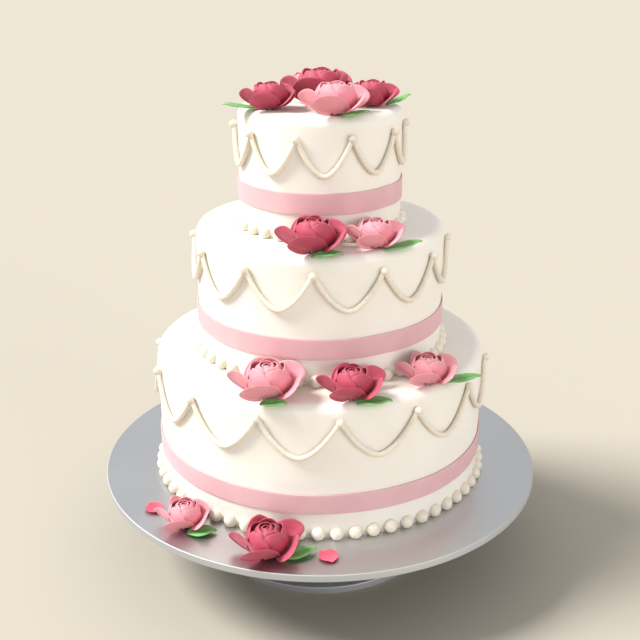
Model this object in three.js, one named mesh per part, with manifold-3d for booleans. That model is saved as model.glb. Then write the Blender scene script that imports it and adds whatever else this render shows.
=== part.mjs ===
import * as THREE from 'three';
import { mergeVertices } from 'three/addons/utils/BufferGeometryUtils.js';
import Module from 'manifold-3d';

// A three-tier wedding cake on a low metal cake stand. Millimetres, +Z up.
// The origin is the middle of the stand's foot, on the table. The front is -Y.
// An azimuth is an angle round the Z axis, in degrees from the front towards +X.

// Stand: a round plate on a flared foot
const STAND = {
  height: 88,
  plateRadius: 204,
  plateThickness: 5,
  plateRim: 1.2,
  footRadius: 107,
  footEdge: 7.5,
  stemRadius: 38,
  collarRadius: 62,
  sides: 48,
};

// Tiers, from the lowest up. Each stands on the one before it.
// band: height of the pink band's lower edge above the tier's base
// swags: number of loops, azimuth of the first join, depth of the joins below the top, and sag
// pearls: number in the border, azimuth of the first, and diameter
const TIERS = [
  {
    name: 'bottom',
    radius: 150,
    height: 122,
    shoulder: 5.5,
    sides: 48,
    band: 23.6,
    swags: { count: 14, azimuth: 6.1, depth: 13, sag: 32.7 },
    pearls: { count: 60, azimuth: 5.4, diameter: 12 },
  },
  {
    name: 'middle',
    radius: 110.7,
    height: 112.5,
    shoulder: 5.5,
    sides: 40,
    band: 24.2,
    swags: { count: 12, azimuth: -2.7, depth: 14.5, sag: 31.2 },
    pearls: { count: 45, azimuth: -1.8, diameter: 11.5 },
  },
  {
    name: 'top',
    radius: 71,
    height: 103.5,
    shoulder: 5.5,
    sides: 32,
    band: 23.9,
    swags: { count: 10, azimuth: -15.1, depth: 17, sag: 30.2 },
    pearls: { count: 30, azimuth: -4, diameter: 10.5 },
  },
];

// Space left between a piece and the wall that it lies against
const GAP = 0.3;
const BAND_WIDTH = 18;
const BAND_THICKNESS = 1;
const ROPE_RADIUS = 2.3;
const ROPE_SIDES = 5;
const DOT_RADIUS = 3.5;
// Places along one swag, as shares of its width, where the rope's sections stand
const ROPE_STATIONS = [0, 0.07, 0.27, 0.5, 0.73, 0.93];
// A pearl's middle stands this far outside the wall
const PEARL_OFFSET = 0.8;
const PEARL_SIDES = 5;
// Height of a pearl as a share of its diameter
const PEARL_HEIGHT = 0.93;
// Corners nearer than this to a straight edge go once pieces are fused
const FUSE_TOLERANCE = 0.02;

// One rose, at size 1: a bud of cupped petals inside five open petals
const ROSE = {
  footRadius: 9,
  footHeight: 2,
  budRadius: 14.6,
  budHeight: 25,
  lipRadius: 12.2,
  winding: 2,
  closedReach: 17,
  petalBulge: 7,
  petalCup: 4.5,
  petalThickness: 1.3,
};
// Open petals: how far each reaches where it has room, and its size
const OPEN_PETALS = [
  { azimuth: -85, reach: 28, length: 27.5, width: 28 },
  { azimuth: -22, reach: 27, length: 24, width: 31 },
  { azimuth: 46, reach: 25, length: 23.5, width: 28 },
  { azimuth: 110, reach: 30, length: 28, width: 31 },
  { azimuth: -158, reach: 27, length: 26, width: 30 },
];
// Half a petal's width is at most this share of its distance out
const PETAL_WEDGE = 0.55;
// A petal's sides end this share of its length before its tip
const PETAL_ROUNDING = 0.12;
// The bud's petals: azimuth where the first starts, places along one as shares of its width,
// and how far its sides dip below the middle of its lip
const BUD_AZIMUTH = -138;
const BUD_SHARES = [0.1, 0.4, 0.7, 0.97];
const BUD_DIP = 4.5;
// Room that a petal leaves to the wall with its band, to a pearl and to the next rose
const WALL_ROOM = 1.9;
const PEARL_ROOM = 0.5;
const ROSE_ROOM = 0.5;
// A pearl is left out where a rose's bud would stand on it
const BUD_ROOM = 0.6;

// Roses: the tier that each lies on ('stand' is the plate), its middle, its size and its shade
const ROSES = [
  { name: 'top_centre', on: 'top', x: 1, y: -1, size: 1.2, shade: 'deep' },
  { name: 'top_left', on: 'top', x: -41, y: -29.5, size: 0.88, shade: 'deep' },
  { name: 'top_front', on: 'top', x: 13, y: -54, size: 1.03, shade: 'pale' },
  { name: 'top_right', on: 'top', x: 44, y: -15, size: 0.86, shade: 'deep' },
  { name: 'top_back', on: 'top', x: -12, y: 43, size: 0.8, shade: 'pale' },
  { name: 'middle_left', on: 'middle', x: -5, y: -93, size: 1.08, shade: 'deep' },
  { name: 'middle_right', on: 'middle', x: 46, y: -80.5, size: 0.9, shade: 'pale' },
  { name: 'bottom_left', on: 'bottom', x: -42, y: -128.5, size: 1.15, shade: 'pale' },
  { name: 'bottom_centre', on: 'bottom', x: 26.5, y: -130.5, size: 1, shade: 'deep' },
  { name: 'bottom_right', on: 'bottom', x: 91, y: -101, size: 0.93, shade: 'pale' },
  { name: 'stand_left', on: 'stand', x: -115.5, y: -130, size: 0.88, shade: 'pale' },
  { name: 'stand_right', on: 'stand', x: -43, y: -174, size: 1.08, shade: 'deep' },
];

// Leaves: from a base to a tip, both measured from the middle of their rose
const LEAF_THICKNESS = 1.1;
const LEAF_FOLD = 2.2;
const LEAVES = [
  { rose: 'top_left', base: [-10, -3], tip: [-40, -7], width: 13, rise: 6 },
  { rose: 'top_front', base: [4.5, -16], tip: [28, -9], width: 13, rise: 3 },
  { rose: 'top_right', base: [12, 2], tip: [35, 12], width: 12, rise: 9 },
  { rose: 'middle_left', base: [-2, -18], tip: [24, -14], width: 13, rise: 1.5 },
  { rose: 'middle_right', base: [7, -12], tip: [38, 0], width: 14, rise: 4 },
  { rose: 'bottom_left', base: [-6.5, -18], tip: [15.5, -20], width: 14, rise: 1.5 },
  { rose: 'bottom_centre', base: [3, -15], tip: [32, -12], width: 15, rise: 1.5 },
  { rose: 'bottom_right', base: [12, -3], tip: [45, 4], width: 15, rise: 3 },
  { rose: 'stand_left', base: [3, -13.5], tip: [28, -12.5], width: 17, rise: 2 },
  { rose: 'stand_right', base: [10, -7], tip: [40, 3], width: 16, rise: 3 },
];

// Loose petals on the plate
const LOOSE_PETAL = { length: 17, width: 16, cup: 2.4, thickness: 0.9 };
const LOOSE_PETALS = [
  { name: 'left', x: -145, y: -105, azimuth: 70 },
  { name: 'right', x: 7.3, y: -179.4, azimuth: 20 },
];

const COLOURS = {
  metal: { color: 0xb9bbbd, roughness: 0.28, metalness: 1 },
  fondant: { color: 0xfbf6ea, roughness: 0.6, metalness: 0 },
  band: { color: 0xedb4b8, roughness: 0.65, metalness: 0 },
  icing: { color: 0xf2e8d2, roughness: 0.5, metalness: 0 },
  deep: { color: 0xd9405f, roughness: 0.55, metalness: 0 },
  pale: { color: 0xf79aab, roughness: 0.55, metalness: 0 },
  loose: { color: 0xf4507f, roughness: 0.55, metalness: 0 },
  leaf: { color: 0x5fa350, roughness: 0.5, metalness: 0 },
};

const wasm = await Module();
wasm.setup();

const cake = new THREE.Group();
const radians = THREE.MathUtils.degToRad;

// Height of the surface that things lie on
function ledgeHeight(on) {
  let height = STAND.height;
  for (const tier of TIERS) {
    if (on === 'stand') {
      break;
    }
    height += tier.height;
    if (tier.name === on) {
      break;
    }
  }
  return height;
}

// The tier that rises from a ledge, or undefined on the cake's top
function tierAbove(on) {
  return TIERS[TIERS.findIndex((tier) => tier.name === on) + 1];
}

function tierBase(tier) {
  return ledgeHeight(tier.name) - tier.height;
}

// The point at an azimuth, a distance from the axis and a height
function polar(azimuth, radius, z) {
  const angle = radians(azimuth);
  return new THREE.Vector3(radius * Math.sin(angle), -radius * Math.cos(angle), z);
}

// Positions only, with the corners that coincide joined and the empty triangles dropped
function welded(geometry) {
  const bare = geometry.clone();
  bare.deleteAttribute('normal');
  bare.deleteAttribute('uv');
  const merged = mergeVertices(bare, 1e-4);
  const corners = Array.from(merged.index.array);
  const kept = [];
  for (let i = 0; i < corners.length; i += 3) {
    const [a, b, c] = corners.slice(i, i + 3);
    if (a !== b && b !== c && c !== a) {
      kept.push(a, b, c);
    }
  }
  merged.setIndex(kept);
  return merged;
}

function toSolid(geometry) {
  const merged = welded(geometry);
  return new wasm.Manifold(new wasm.Mesh({
    numProp: 3,
    vertProperties: new Float32Array(merged.attributes.position.array),
    triVerts: new Uint32Array(merged.index.array),
  }));
}

function toGeometry(solid) {
  const mesh = solid.getMesh();
  const geometry = new THREE.BufferGeometry();
  geometry.setAttribute('position', new THREE.BufferAttribute(mesh.vertProperties, 3));
  geometry.setIndex(new THREE.BufferAttribute(mesh.triVerts, 1));
  return geometry;
}

// The largest piece alone, so that loose scraps and sealed hollows go
function largest(solid) {
  return solid.decompose().reduce((best, piece) => (piece.volume() > best.volume() ? piece : best));
}

// A shape turned round the Z axis, from [radius, height] pairs
function turned(profile, sides) {
  const points = profile.map(([radius, height]) => new THREE.Vector2(radius, height));
  return new THREE.LatheGeometry(points, sides).rotateX(Math.PI / 2);
}

function addNode(name, geometry, finish) {
  const mesh = new THREE.Mesh(geometry, new THREE.MeshStandardMaterial(COLOURS[finish]));
  mesh.name = name;
  cake.add(mesh);
}

// A thin solid over face(u, v), where u runs from -1 to 1 and v from 0 to 1. It is thickest in
// the middle and sharp at the rim, and both of its faces split into triangles alike.
function thinSolid(face, across, along, thickness) {
  const positions = [];
  const corners = [];
  const row = across + 1;
  const layer = row * (along + 1);
  for (const side of [0, 1]) {
    for (let j = 0; j <= along; j += 1) {
      for (let i = 0; i <= across; i += 1) {
        const { point, normal } = face((2 * i) / across - 1, j / along);
        const onRim = i === 0 || i === across || j === 0 || j === along;
        const lift = side === 1 && !onRim ? thickness : 0;
        positions.push(...point.addScaledVector(normal, lift).toArray());
      }
    }
  }
  for (let j = 0; j < along; j += 1) {
    for (let i = 0; i < across; i += 1) {
      const a = j * row + i;
      const [b, c, d] = [a + 1, a + row + 1, a + row];
      const rising = (i < across / 2) === (j < along / 2);
      const halves = rising ? [[a, b, c], [a, c, d]] : [[a, b, d], [b, c, d]];
      for (const [p, q, r] of halves) {
        corners.push(p, q, r);
        corners.push(layer + p, layer + r, layer + q);
      }
    }
  }
  const geometry = new THREE.BufferGeometry();
  geometry.setAttribute('position', new THREE.Float32BufferAttribute(positions, 3));
  geometry.setIndex(corners);
  return geometry;
}

// Stand

function buildStand() {
  const under = STAND.height - STAND.plateThickness;
  const { plateRadius, plateRim, footRadius, footEdge, stemRadius, collarRadius } = STAND;
  addNode('stand_plate', turned([
    [0, under],
    [plateRadius - 2 * plateRim, under],
    [plateRadius, under + 2 * plateRim],
    [plateRadius - plateRim, STAND.height],
    [0, STAND.height],
  ], STAND.sides), 'metal');
  addNode('stand_foot', turned([
    [0, 0],
    [footRadius, 0],
    [footRadius - 2, footEdge],
    [footRadius - 36, footEdge + 9],
    [stemRadius, footEdge + 27],
    [stemRadius, under - 20],
    [collarRadius, under],
    [0, under],
  ], STAND.sides), 'metal');
}

// Tiers with their pearl borders

// Middles of the pearls that stand on a ledge, but for those where a bud stands
function pearlsOf(tier) {
  const { count, azimuth, diameter } = tier.pearls;
  const base = tierBase(tier);
  const middles = [];
  for (let k = 0; k < count; k += 1) {
    const middle = polar(azimuth + (360 / count) * k, tier.radius + PEARL_OFFSET, base);
    const free = ROSES.every((rose) => {
      const room = ROSE.budRadius * rose.size + diameter / 2 + BUD_ROOM;
      return ledgeHeight(rose.on) !== base || Math.hypot(middle.x - rose.x, middle.y - rose.y) > room;
    });
    if (free) {
      middles.push(middle);
    }
  }
  return middles;
}

// A piped bead with a flat foot
function pearl(diameter) {
  return turned([
    [0, 0],
    [0.24 * diameter, 0],
    [0.5 * diameter, 0.5 * PEARL_HEIGHT * diameter],
    [0.28 * diameter, PEARL_HEIGHT * diameter],
    [0, PEARL_HEIGHT * diameter],
  ], PEARL_SIDES);
}

function buildTier(tier) {
  const base = tierBase(tier);
  const top = base + tier.height;
  const { radius, shoulder } = tier;
  let body = toSolid(turned([
    [0, base],
    [radius, base],
    [radius, top - shoulder],
    [radius - shoulder, top],
    [0, top],
  ], tier.sides));
  const bead = pearl(tier.pearls.diameter);
  const beads = pearlsOf(tier).map(({ x, y, z }) => toSolid(bead.clone().translate(x, y, z)));
  body = largest(wasm.Manifold.union([body, ...beads])).simplify(FUSE_TOLERANCE);
  addNode(`tier_${tier.name}`, toGeometry(body), 'fondant');
}

function buildBand(tier) {
  const low = tierBase(tier) + tier.band;
  const inner = tier.radius + GAP;
  const outer = inner + BAND_THICKNESS;
  addNode(`band_${tier.name}`, turned([
    [inner, low],
    [outer, low],
    [outer, low + BAND_WIDTH],
    [inner, low + BAND_WIDTH],
    [inner, low],
  ], tier.sides), 'band');
}

// Swags

// Height of the rope's middle, in a parabola between two joins
function swagHeight(tier, share) {
  const { depth, sag } = tier.swags;
  return tierBase(tier) + tier.height - depth - sag * 4 * share * (1 - share);
}

// One rope round the tier, thicker at the joins. Its sections stand square to its run.
function buildSwags(tier) {
  const { count, azimuth, sag } = tier.swags;
  const stations = ROPE_STATIONS.length;
  const sections = count * stations;
  const rope = new THREE.TorusGeometry(1, 0.5, ROPE_SIDES, sections);
  const places = rope.attributes.position;
  const middle = tier.radius + GAP + ROPE_RADIUS;
  const width = (2 * Math.PI * middle) / count;
  for (let i = 0; i < places.count; i += 1) {
    const section = i % (sections + 1) % sections;
    const side = Math.floor(i / (sections + 1)) % ROPE_SIDES;
    const share = ROPE_STATIONS[section % stations];
    const join = share === 0;
    const radius = join ? DOT_RADIUS : ROPE_RADIUS;
    const slope = join ? 0 : (sag * 4 * (2 * share - 1)) / width;
    const lean = Math.atan(slope);
    const around = (2 * Math.PI * side) / ROPE_SIDES;
    const out = radius * Math.cos(around) + radius - ROPE_RADIUS;
    const up = radius * Math.sin(around);
    const turns = (Math.floor(section / stations) + share) / count;
    const shift = THREE.MathUtils.radToDeg((-up * Math.sin(lean)) / middle);
    const point = polar(
      azimuth + 360 * turns + shift,
      middle + out,
      swagHeight(tier, share) + up * Math.cos(lean),
    );
    places.setXYZ(i, point.x, point.y, point.z);
  }
  addNode(`swags_${tier.name}`, welded(rope), 'icing');
}

// Roses

// The open petal that leans out from a rose's foot to a reach, as face(u, v) with u from side to
// side and v from foot to tip. Its middle line is a curve through the foot, a bulge and the tip.
// It keeps its length, so a petal with less reach stands more upright.
function openPetal(rose, { azimuth, length, width }, reach) {
  const foot = new THREE.Vector2(ROSE.footRadius - 4, ROSE.footHeight);
  const rise = Math.min(Math.sqrt(length ** 2 - (reach - foot.x) ** 2), ROSE.budHeight - 4);
  const tip = new THREE.Vector2(reach, foot.y + rise);
  const chord = tip.clone().sub(foot);
  const outward = new THREE.Vector2(chord.y, -chord.x).normalize();
  const bulge = foot.clone().add(tip).multiplyScalar(0.5).addScaledVector(outward, ROSE.petalBulge);
  bulge.y = Math.max(bulge.y, ROSE.footHeight + 1);
  const line = new THREE.QuadraticBezierCurve(foot, bulge, tip);
  return (u, v, lift = 0) => {
    const share = v * (1 - PETAL_ROUNDING * u * u);
    const middle = line.getPoint(share);
    const along = line.getTangent(share);
    const inward = new THREE.Vector2(-along.y, along.x);
    const full = (width / 2) * Math.sin(Math.PI * (0.04 + 0.84 * share)) ** 0.8;
    const half = Math.min(full, middle.x * PETAL_WEDGE);
    const cup = ROSE.petalCup * u * u * Math.sin(Math.PI * (0.1 + 0.8 * share));
    middle.addScaledVector(inward, cup + lift);
    return placedOnRose(rose, azimuth, middle, half * u);
  };
}

// From a petal's own distance out, height and offset across to a point on the cake
function placedOnRose(rose, azimuth, middle, offset) {
  const point = polar(azimuth, middle.x, middle.y).multiplyScalar(rose.size);
  point.addScaledVector(polar(azimuth + 90, 1, 0), offset * rose.size);
  return point.add(new THREE.Vector3(rose.x, rose.y, ledgeHeight(rose.on)));
}

// Whether a point is clear of the wall, the pearls and the neighbours of a rose
function isClear(rose, point) {
  const wall = tierAbove(rose.on);
  if (wall && Math.hypot(point.x, point.y) < wall.radius + WALL_ROOM) {
    return false;
  }
  const low = wall && point.z - ledgeHeight(rose.on) < wall.pearls.diameter + PEARL_ROOM;
  const room = low ? wall.pearls.diameter / 2 + PEARL_ROOM : 0;
  if (low && pearlsOf(wall).some(({ x, y }) => Math.hypot(point.x - x, point.y - y) < room)) {
    return false;
  }
  return ROSES.filter((other) => other !== rose && other.on === rose.on).every((other) => {
    const across = new THREE.Vector2(other.x - rose.x, other.y - rose.y);
    const share = (across.length() * rose.size) / (rose.size + other.size) - ROSE_ROOM;
    const away = new THREE.Vector2(point.x - rose.x, point.y - rose.y);
    return away.dot(across.normalize()) < share;
  });
}

// The widest reach at which the whole petal is clear, or else that of a closed petal
function petalReach(rose, petal) {
  const steps = [-1, -0.5, 0, 0.5, 1];
  for (let reach = petal.reach; reach > ROSE.closedReach; reach -= 1) {
    const face = openPetal(rose, petal, reach);
    const clear = steps.every((u) => [0.2, 0.4, 0.6, 0.8, 1].every((v) => {
      return isClear(rose, face(u, v));
    }));
    if (clear) {
      return reach;
    }
  }
  return ROSE.closedReach;
}

// Four columns for each petal: its two sides and middle, and the gap to the next
function roseColumns(rose) {
  return OPEN_PETALS.flatMap((petal, k) => {
    const following = OPEN_PETALS[(k + 1) % OPEN_PETALS.length];
    const turn = (following.azimuth - petal.azimuth + 360) % 360;
    const face = openPetal(rose, petal, petalReach(rose, petal));
    const start = BUD_AZIMUTH + (360 / OPEN_PETALS.length) * k;
    return BUD_SHARES.map((share, step) => ({
      face,
      u: step - 1,
      inGap: step === 3,
      foot: petal.azimuth + turn * [-0.3, 0, 0.3, 0.5][step],
      bud: start + (360 / OPEN_PETALS.length) * share,
      share,
    }));
  });
}

// A rose is one body. From the top pole down, its rings are the bud's middle and lip, the bud,
// and the upper face, rim and lower face of the open petals. Each of the bud's petals is wound
// outwards over the start of the next.
function buildRose(rose) {
  const { footRadius, budRadius, budHeight, lipRadius, winding, petalThickness } = ROSE;
  const at = (azimuth, radius, height) => {
    return placedOnRose(rose, azimuth, new THREE.Vector2(radius, height), 0);
  };
  const wound = (column) => winding * (column.share - 0.5);
  const dip = (column) => BUD_DIP * (2 * column.share - 1) ** 2;
  const rings = [
    () => at(0, 0, budHeight - 2),
    (column) => at(column.bud, lipRadius - 4, 0.75 * budHeight),
    (column) => at(column.bud, lipRadius + wound(column), budHeight - dip(column)),
    (column) => at(column.bud, budRadius + wound(column), 0.66 * budHeight),
    ({ inGap, face, foot, u }) => (inGap ? at(foot, budRadius - 1.6, 8.8) : face(u, 0.5, petalThickness)),
    ({ inGap, face, foot, u }) => (inGap ? at(foot, budRadius - 1.2, 8) : face(u, 1)),
    ({ inGap, face, foot, u }) => (inGap ? at(foot, footRadius + 1.5, 4) : face(u, 0.55)),
    (column) => at(column.foot, footRadius, 0),
    () => at(0, 0, 0),
  ];
  const columns = roseColumns(rose);
  const shape = new THREE.SphereGeometry(1, columns.length, rings.length - 1);
  const places = shape.attributes.position;
  for (let i = 0; i < places.count; i += 1) {
    const ring = Math.floor(i / (columns.length + 1));
    const column = columns[i % (columns.length + 1) % columns.length];
    places.setXYZ(i, ...rings[ring](column).toArray());
  }
  addNode(`rose_${rose.name}`, welded(shape), rose.shade);
}

// Leaves and loose petals

// A pointed leaf folded along its middle, with a lifted tip and a slight wave in its sides
function buildLeaf(leaf) {
  const rose = ROSES.find(({ name }) => name === leaf.rose);
  const base = new THREE.Vector2(...leaf.base);
  const run = new THREE.Vector2(...leaf.tip).sub(base);
  const across = new THREE.Vector2(-run.y, run.x).normalize();
  const face = (u, v) => {
    const half = (leaf.width / 2) * Math.sin(Math.PI * v ** 0.85) ** 0.8;
    const place = base.clone().addScaledVector(run, v).addScaledVector(across, half * u);
    const fold = LEAF_FOLD * Math.abs(u) * Math.sin(Math.PI * v);
    const wave = 0.5 * u * u * Math.sin(3 * Math.PI * v);
    const height = fold + wave + leaf.rise * v ** 2;
    return {
      point: new THREE.Vector3(rose.x + place.x, rose.y + place.y, ledgeHeight(rose.on) + height),
      normal: new THREE.Vector3(0, 0, 1),
    };
  };
  addNode(`leaf_${leaf.rose}`, welded(thinSolid(face, 2, 4, LEAF_THICKNESS)), 'leaf');
}

// A round petal that lies on the plate with its rim curled up
function buildLoosePetal({ name, x, y, azimuth }) {
  const { length, width, cup, thickness } = LOOSE_PETAL;
  const face = (u, v) => {
    const share = v * (1 - 0.15 * u * u);
    const half = (width / 2) * Math.sin(Math.PI * (0.13 + 0.8 * share)) ** 0.75;
    const along = (share - 0.5) * length;
    const place = polar(azimuth, along, 0).add(polar(azimuth + 90, half * u, 0));
    const height = cup * (0.6 * u * u + 0.4 * (2 * share - 1) ** 2);
    return {
      point: new THREE.Vector3(x + place.x, y + place.y, STAND.height + height),
      normal: new THREE.Vector3(0, 0, 1),
    };
  };
  addNode(`petal_${name}`, welded(thinSolid(face, 2, 4, thickness)), 'loose');
}

buildStand();
TIERS.forEach(buildTier);
TIERS.forEach(buildBand);
TIERS.forEach(buildSwags);
ROSES.forEach(buildRose);
LEAVES.forEach(buildLeaf);
LOOSE_PETALS.forEach(buildLoosePetal);

export default cake;
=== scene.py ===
"""Dresses a tiered wedding cake on a low metal stand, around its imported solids.

Every class holds one sub-assembly or one finish. Sizes are in millimetres until a mesh is made, and the
frame is the solids' own: +Z up, -Y to the front, the origin under the middle of the stand's foot.
An azimuth is an angle round the Z axis, in degrees from the front towards +X.
"""

import logging
import math
from collections.abc import Callable
from dataclasses import astuple, dataclass, field
from enum import Enum
from functools import partial

import bpy
import numpy as np
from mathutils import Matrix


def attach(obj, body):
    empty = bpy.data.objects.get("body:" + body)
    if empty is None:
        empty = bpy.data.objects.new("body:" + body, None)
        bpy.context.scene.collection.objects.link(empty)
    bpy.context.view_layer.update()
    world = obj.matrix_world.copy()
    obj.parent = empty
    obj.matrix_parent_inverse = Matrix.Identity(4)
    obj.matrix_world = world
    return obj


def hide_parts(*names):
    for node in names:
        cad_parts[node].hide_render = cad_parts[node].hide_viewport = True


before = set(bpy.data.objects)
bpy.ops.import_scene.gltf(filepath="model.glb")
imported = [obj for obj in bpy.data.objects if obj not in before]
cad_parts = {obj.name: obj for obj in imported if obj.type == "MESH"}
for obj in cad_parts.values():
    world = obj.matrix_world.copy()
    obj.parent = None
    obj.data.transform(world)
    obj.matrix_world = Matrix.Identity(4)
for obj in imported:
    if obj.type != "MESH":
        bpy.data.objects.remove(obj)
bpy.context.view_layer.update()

log = logging.getLogger("cake")

METRES = 0.001
BODY = "root"
SEED = 7
# A leaf's side veins, on each side of its rib, and how far they sweep back from the rib to the rim
SIDE_VEINS = 8
VEIN_SWEEP = 0.275


# Surfaces

@dataclass
class Surface:
    """A mesh in the making.

    points are in millimetres, one row each. triangles hold three point numbers each, turning
    anticlockwise as seen from outside. uv and tone hold a place on the pattern and a shade for each point.
    """

    points: np.ndarray
    triangles: np.ndarray
    uv: np.ndarray
    tone: np.ndarray

    def outward(self) -> "Surface":
        """Turns the faces out of the space that they close.

        The signed volume is a sixth of the summed triple products of the triangles' corners.

        Returns:
            The surface itself.
        """
        a, b, c = (self.points[self.triangles[:, k]] for k in range(3))
        if np.einsum("ij,ij->i", a, np.cross(b, c)).sum() / 6 < 0:
            self.triangles = self.triangles[:, ::-1]
        return self

    def welded(self) -> "Surface":
        """Joins equal points and drops the triangles that lose their area.

        Returns:
            The new surface.
        """
        rounded_points = np.round(self.points, 4)
        _, first, place = np.unique(rounded_points, axis=0, return_index=True, return_inverse=True)
        corners = place.ravel()[self.triangles]
        a, b, c = corners.T
        kept = (a != b) & (b != c) & (c != a)
        return Surface(self.points[first], corners[kept], self.uv[first], self.tone[first])


def joined(parts: list[Surface]) -> Surface:
    """Puts several surfaces into one.

    Args:
        parts: the surfaces, which keep their order.

    Returns:
        One surface that holds them all.
    """
    starts = np.cumsum([0] + [len(part.points) for part in parts[:-1]])
    return Surface(
        np.concatenate([part.points for part in parts]),
        np.concatenate([part.triangles + start for part, start in zip(parts, starts)]),
        np.concatenate([part.uv for part in parts]),
        np.concatenate([part.tone for part in parts]),
    )


def unit(vectors: np.ndarray) -> np.ndarray:
    """Returns the vectors along the last axis, each divided by its length."""
    return vectors / np.maximum(np.linalg.norm(vectors, axis=-1, keepdims=True), 1e-9)


def ramp(value: np.ndarray, start: float, end: float) -> np.ndarray:
    """Returns how far a value has come from start to end, held between 0 and 1."""
    return np.clip((value - start) / (end - start), 0, 1)


def around(sides: int) -> np.ndarray:
    """Returns angles evenly round a full turn, the last one equal to the first."""
    return np.append(np.linspace(0, 2 * math.pi, sides + 1)[:-1], 0)


def grid(columns: int, rows: int, low: float = 0.0, high: float = 1.0) -> list[np.ndarray]:
    """Returns u from -1 to 1 across a grid, and v from low to high along it."""
    return np.meshgrid(np.linspace(-1, 1, columns), np.linspace(low, high, rows))


def pattern_of(u: np.ndarray, v: np.ndarray) -> np.ndarray:
    """Returns a (points, 2) uv for a grid, from u between -1 and 1 and v between 0 and 1."""
    return np.stack([(u.ravel() + 1) / 2, v.ravel()], 1)


def quilted(indices: np.ndarray) -> np.ndarray:
    """Splits each cell of a table of point numbers into two triangles.

    Args:
        indices: (rows, columns) point numbers.

    Returns:
        (2 * cells, 3) point numbers.
    """
    a, b = indices[:-1, :-1].ravel(), indices[:-1, 1:].ravel()
    d, c = indices[1:, :-1].ravel(), indices[1:, 1:].ravel()
    return np.concatenate([np.stack([a, b, c], 1), np.stack([a, c, d], 1)])


def sheet_of(points: np.ndarray) -> Surface:
    """Makes a surface from a grid of points, joined where its edges meet.

    Args:
        points: (rows, columns, 3) places. A last row or column that repeats the first closes the grid.

    Returns:
        The surface, welded and facing out.
    """
    rows, columns = points.shape[:2]
    indices = np.arange(rows * columns).reshape(rows, columns)
    pattern = pattern_of(*grid(columns, rows))
    made = Surface(points.reshape(-1, 3), quilted(indices), pattern, np.full(rows * columns, 0.5))
    return made.welded().outward()


def turned(profile: np.ndarray, sides: int) -> np.ndarray:
    """Turns a profile round the Z axis.

    A point at radius r and height z goes to (r sin t, -r cos t, z) for t evenly from 0 to a full turn.

    Args:
        profile: (n, 2) radii and heights.
        sides: number of steps in the turn.

    Returns:
        (n, sides + 1, 3) places, whose last column repeats the first.
    """
    turn, radius, height = around(sides), profile[:, :1], profile[:, 1:]
    tall = np.broadcast_to(height, (len(profile), sides + 1))
    return np.stack([radius * np.sin(turn), -radius * np.cos(turn), tall], 2)


def rounded(corners: list[tuple[float, float, float]], steps: int = 6) -> np.ndarray:
    """Rounds the corners of a profile.

    Each corner is replaced by a quadratic curve that starts and ends its radius away along the two edges.

    Args:
        corners: (radius, height, rounding) for each corner, in order.
        steps: number of steps along each rounded corner.

    Returns:
        (n, 2) radii and heights.
    """
    places = np.array([corner[:2] for corner in corners], float)
    line = [places[:1]]
    share = np.linspace(0, 1, steps + 1)[:, None]
    for k in range(1, len(corners) - 1):
        before, here, after = places[k - 1 : k + 2]
        reach = corners[k][2]
        if reach == 0:
            line.append(here[None])
            continue
        start, end = here + unit(before - here) * reach, here + unit(after - here) * reach
        line.append((1 - share) ** 2 * start + 2 * share * (1 - share) * here + share**2 * end)
    line.append(places[-1:])
    return np.concatenate(line)


def divided(profile: np.ndarray, step: float) -> np.ndarray:
    """Adds evenly spaced points to the long straight stretches of a profile.

    Args:
        profile: (n, 2) radii and heights.
        step: longest stretch left, in mm.

    Returns:
        (m, 2) radii and heights.
    """
    gaps = np.linalg.norm(np.diff(profile, axis=0), axis=1)
    travelled = np.concatenate([[0], np.cumsum(gaps)])
    counts = np.maximum(2, np.ceil(gaps / step).astype(int) + 1)
    extra = [np.linspace(a, b, n) for a, b, n in zip(travelled, travelled[1:], counts)]
    places = np.unique(np.concatenate(extra).round(6))
    return np.stack([np.interp(places, travelled, profile[:, k]) for k in (0, 1)], 1)


def bezier(points: list[tuple[float, float]], share: np.ndarray) -> tuple[np.ndarray, np.ndarray]:
    """Works out a curve over two, three or four points, and its direction.

    Args:
        points: the curve's control points, as (outward, up) pairs.
        share: places along the curve, from 0 to 1.

    Returns:
        Places and unit directions, each of share's shape with a last axis of two.
    """
    layers = [np.broadcast_to(np.array(p, float), (*share.shape, 2)) for p in points]
    t = share[..., None]
    while len(layers) > 2:
        layers = [a * (1 - t) + b * t for a, b in zip(layers, layers[1:])]
    return layers[0] * (1 - t) + layers[1] * t, unit(layers[1] - layers[0])


def polar(azimuth: np.ndarray | float, radius: np.ndarray | float, z: np.ndarray | float) -> np.ndarray:
    """Returns the place at an azimuth in degrees, a distance from the axis and a height."""
    angle = np.radians(azimuth)
    return np.stack(np.broadcast_arrays(radius * np.sin(angle), -radius * np.cos(angle), z), -1)


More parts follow.
